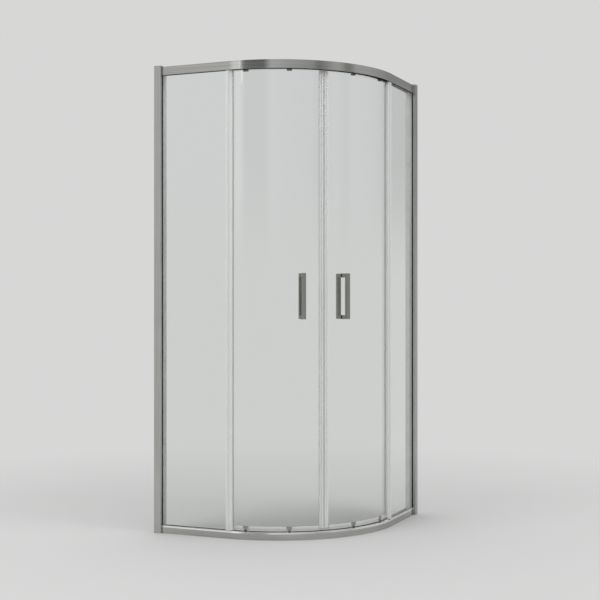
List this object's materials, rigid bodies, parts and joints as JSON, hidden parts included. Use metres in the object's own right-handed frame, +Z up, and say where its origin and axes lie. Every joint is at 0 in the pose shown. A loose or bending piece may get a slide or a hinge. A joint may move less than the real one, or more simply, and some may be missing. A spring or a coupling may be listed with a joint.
{
  "type": "quadrant_shower_enclosure",
  "caption": "Quadrant shower enclosure: a curved glass front of rolling doors between flat fixed panes, in brushed aluminium rails and wall posts.",
  "frame": {"origin": "centre of the 895 x 895 mm square footprint at floor level", "axes": "+Z up; the walls stand at the -X and +Y sides; the curved front faces +X -Y; the right half mirrors the left half about the upright plane x = -y"},
  "size_m": [0.895, 0.895, 2],
  "materials": {
    "post_metal": "satin",
    "rail_metal": "brushed",
    "strip_metal": "bright",
    "bracket_metal": "brushed",
    "handle_metal": "satin",
    "steel": "turned",
    "glass_clear": "polished",
    "seal_clear": "smooth, translucent",
    "seal_white": "smooth, milky",
    "magnet_pale": "matt, pale",
    "gasket_grey": "matt",
    "stop_rubber": "matt",
    "washer_dark": "matt",
    "grey_plastic": "fine grained",
    "wheel_nylon": "smooth"
  },
  "bodies": {
    "frame": {"wall_profile_left": "post_metal", "wall_profile_right": "post_metal", "side_post_left": "post_metal", "side_post_right": "post_metal", "profile_cap_left": "grey_plastic", "profile_cap_right": "grey_plastic", "post_lock_screws": "steel", "lock_screw_caps": "grey_plastic", "top_rail": "rail_metal", "bottom_rail": "rail_metal", "threshold_strip": "strip_metal", "corner_brackets": "grey_plastic", "rail_screws": "steel", "door_stops": "stop_rubber", "fixed_glass_left": "glass_clear", "fixed_glass_right": "glass_clear", "fixed_edge_seal_left": "seal_clear", "fixed_edge_seal_right": "seal_clear", "post_gaskets": "gasket_grey", "rail_gaskets": "gasket_grey"},
    "door_left": {"door_glass_left": "glass_clear", "magnetic_seal_left": "seal_white", "magnet_strip_left": "magnet_pale", "trailing_seal_left": "seal_clear", "door_bottom_seal_left": "seal_clear", "outer_handle_left": "handle_metal", "inner_handle_left": "handle_metal", "handle_washers_left": "washer_dark", "handle_studs_left": "steel", "upper_bracket_left_trail": "bracket_metal", "upper_bracket_left_lead": "bracket_metal", "lower_bracket_left_trail": "bracket_metal", "lower_bracket_left_lead": "bracket_metal", "wheel_axles_left": "steel", "bracket_screws_left": "steel"},
    "door_right": {"door_glass_right": "glass_clear", "magnetic_seal_right": "seal_white", "magnet_strip_right": "magnet_pale", "trailing_seal_right": "seal_clear", "door_bottom_seal_right": "seal_clear", "outer_handle_right": "handle_metal", "inner_handle_right": "handle_metal", "handle_washers_right": "washer_dark", "handle_studs_right": "steel", "upper_bracket_right_trail": "bracket_metal", "upper_bracket_right_lead": "bracket_metal", "lower_bracket_right_trail": "bracket_metal", "lower_bracket_right_lead": "bracket_metal", "wheel_axles_right": "steel", "bracket_screws_right": "steel"},
    "upper_wheel_left_trail": {"upper_wheel_left_trail": "wheel_nylon"},
    "upper_wheel_left_lead": {"upper_wheel_left_lead": "wheel_nylon"},
    "lower_wheel_left_trail": {"lower_wheel_left_trail": "wheel_nylon"},
    "lower_wheel_left_lead": {"lower_wheel_left_lead": "wheel_nylon"},
    "upper_wheel_right_trail": {"upper_wheel_right_trail": "wheel_nylon"},
    "upper_wheel_right_lead": {"upper_wheel_right_lead": "wheel_nylon"},
    "lower_wheel_right_trail": {"lower_wheel_right_trail": "wheel_nylon"},
    "lower_wheel_right_lead": {"lower_wheel_right_lead": "wheel_nylon"}
  },
  "joints": [
    {"name": "door_left_roll", "type": "hinge", "parent": "frame", "child": "door_left", "pos_m": [-0.1555, 0.2675, 1], "axis": [0, 0, -1], "range_deg": [0, 20]},
    {"name": "door_right_roll", "type": "hinge", "parent": "frame", "child": "door_right", "pos_m": [-0.2675, 0.1555, 1], "axis": [0, 0, 1], "range_deg": [0, 20]},
    {"name": "upper_wheel_left_trail_spin", "type": "hinge", "parent": "door_left", "child": "upper_wheel_left_trail", "pos_m": [-0.02988, -0.40265, 1.9763], "axis": [0.134, -0.991, 0], "continuous": true},
    {"name": "upper_wheel_left_lead_spin", "type": "hinge", "parent": "door_left", "child": "upper_wheel_left_lead", "pos_m": [0.14254, -0.34646, 1.9763], "axis": [0.4756, -0.8797, 0], "continuous": true},
    {"name": "lower_wheel_left_trail_spin", "type": "hinge", "parent": "door_left", "child": "lower_wheel_left_trail", "pos_m": [-0.02941, -0.40612, 0.0328], "axis": [0.134, -0.991, 0], "continuous": true},
    {"name": "lower_wheel_left_lead_spin", "type": "hinge", "parent": "door_left", "child": "lower_wheel_left_lead", "pos_m": [0.14421, -0.34954, 0.0328], "axis": [0.4756, -0.8797, 0], "continuous": true},
    {"name": "upper_wheel_right_trail_spin", "type": "hinge", "parent": "door_right", "child": "upper_wheel_right_trail", "pos_m": [0.40265, 0.02988, 1.9763], "axis": [0.991, -0.134, 0], "continuous": true},
    {"name": "upper_wheel_right_lead_spin", "type": "hinge", "parent": "door_right", "child": "upper_wheel_right_lead", "pos_m": [0.34646, -0.14254, 1.9763], "axis": [0.8797, -0.4756, 0], "continuous": true},
    {"name": "lower_wheel_right_trail_spin", "type": "hinge", "parent": "door_right", "child": "lower_wheel_right_trail", "pos_m": [0.40612, 0.02941, 0.0328], "axis": [0.991, -0.134, 0], "continuous": true},
    {"name": "lower_wheel_right_lead_spin", "type": "hinge", "parent": "door_right", "child": "lower_wheel_right_lead", "pos_m": [0.34954, -0.14421, 0.0328], "axis": [0.8797, -0.4756, 0], "continuous": true}
  ],
  "couplings": [
    {"joint": "upper_wheel_left_trail_spin", "follows": "door_left_roll", "ratio": 68.18},
    {"joint": "upper_wheel_left_lead_spin", "follows": "door_left_roll", "ratio": 68.25},
    {"joint": "lower_wheel_left_trail_spin", "follows": "door_left_roll", "ratio": 91.37},
    {"joint": "lower_wheel_left_lead_spin", "follows": "door_left_roll", "ratio": 91.46},
    {"joint": "upper_wheel_right_trail_spin", "follows": "door_right_roll", "ratio": -68.18},
    {"joint": "upper_wheel_right_lead_spin", "follows": "door_right_roll", "ratio": -68.25},
    {"joint": "lower_wheel_right_trail_spin", "follows": "door_right_roll", "ratio": -91.37},
    {"joint": "lower_wheel_right_lead_spin", "follows": "door_right_roll", "ratio": -91.46}
  ]
}
